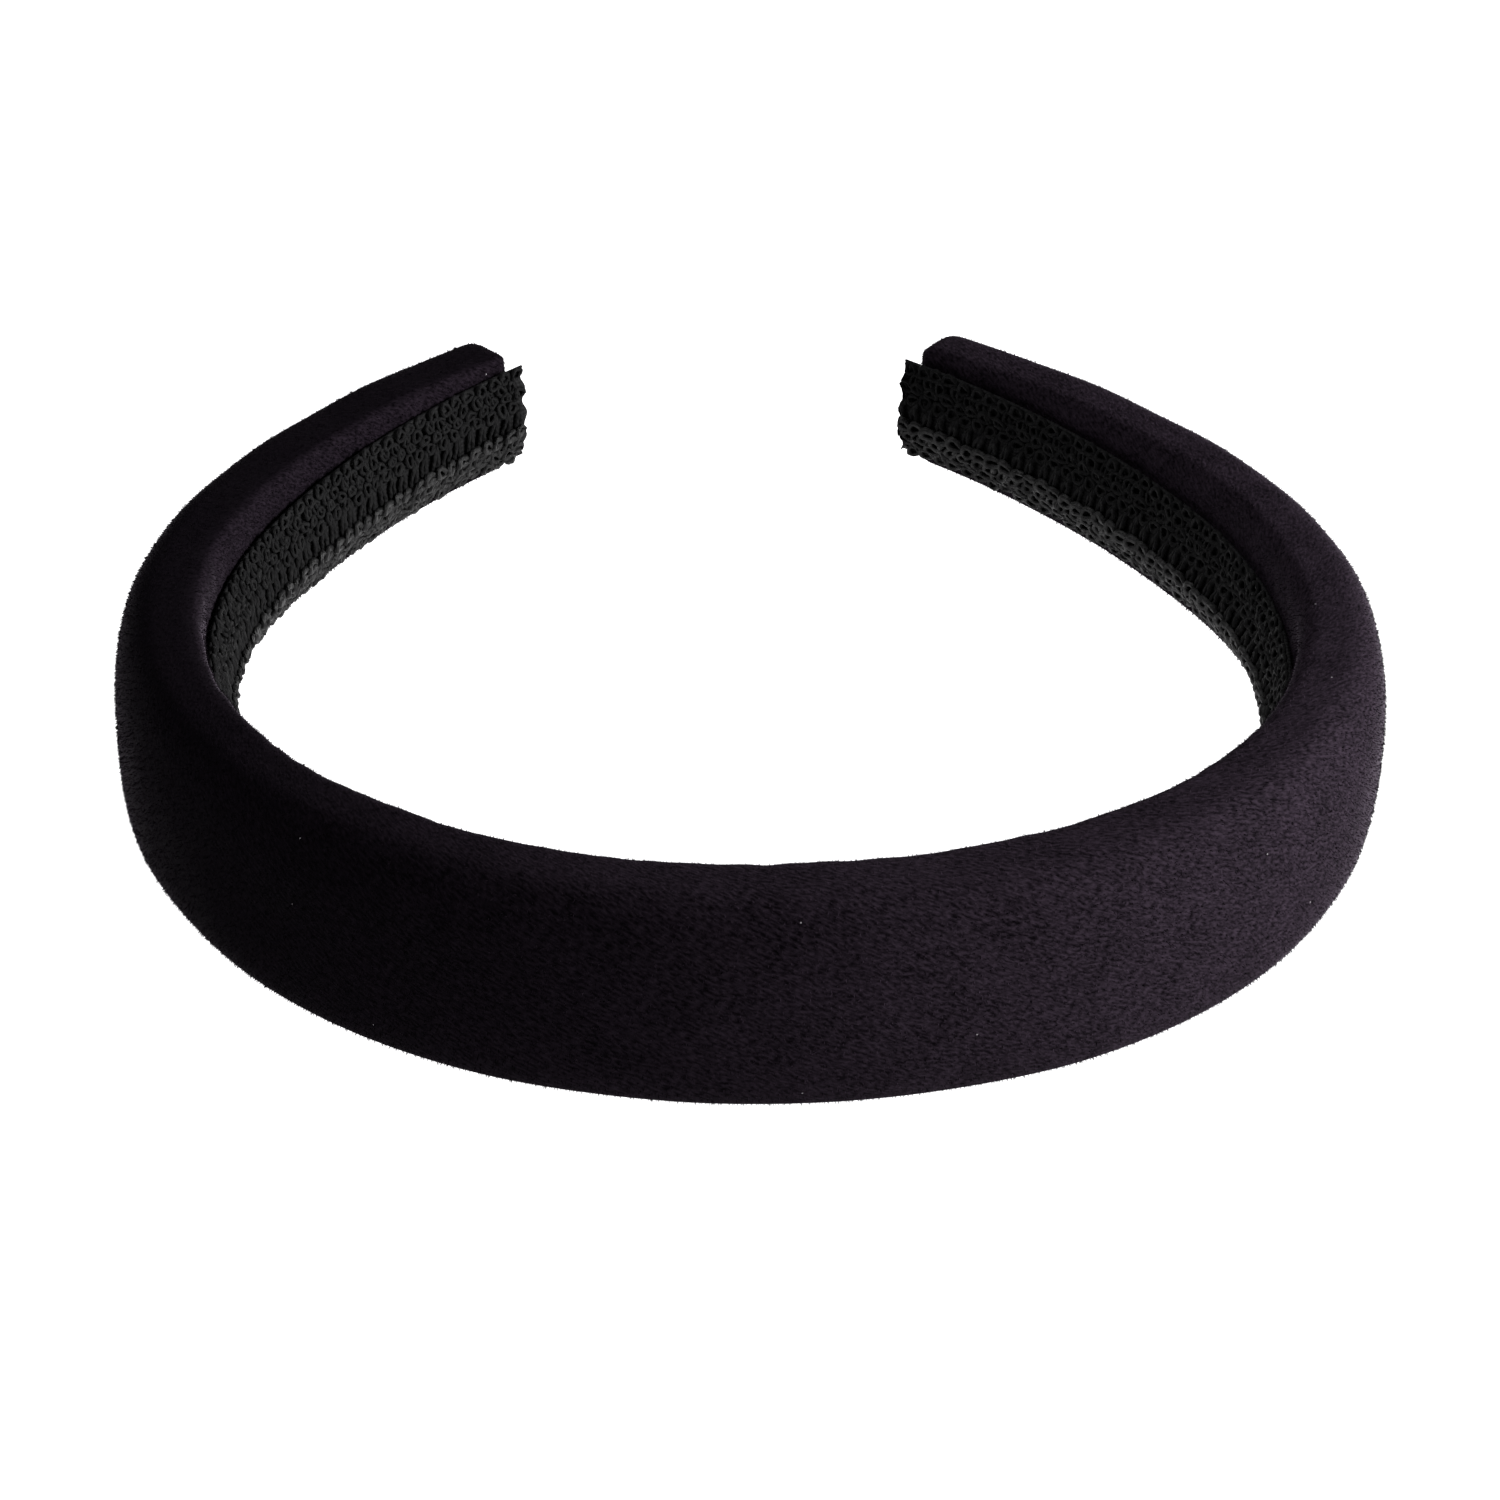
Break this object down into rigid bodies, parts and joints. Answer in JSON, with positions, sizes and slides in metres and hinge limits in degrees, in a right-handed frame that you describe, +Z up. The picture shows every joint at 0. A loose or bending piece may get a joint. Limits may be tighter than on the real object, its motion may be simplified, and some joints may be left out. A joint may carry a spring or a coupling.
{
  "type": "padded headband",
  "caption": "Padded velvet Alice band: a sprung plastic core band in a foam pad and velvet cover, with a knitted lining tape on the head side.",
  "frame": {"origin": "on the surface that the band lies on, under the middle of its bounding box", "axes": "+Z up, across the band's width from its lower edge to its upper edge; -Y towards the crown, +Y towards the two tips; +X across the hoop, which is the same on both sides of X = 0"},
  "size_m": [0.1476, 0.1496, 0.027],
  "materials": {
    "core": "satin",
    "foam": "matte",
    "velvet": "matte",
    "lining": "satin"
  },
  "bodies": {
    "root": {"core_band": "core", "foam_pad": "foam", "velvet_cover": "velvet", "lining_tape": "lining"}
  },
  "joints": []
}
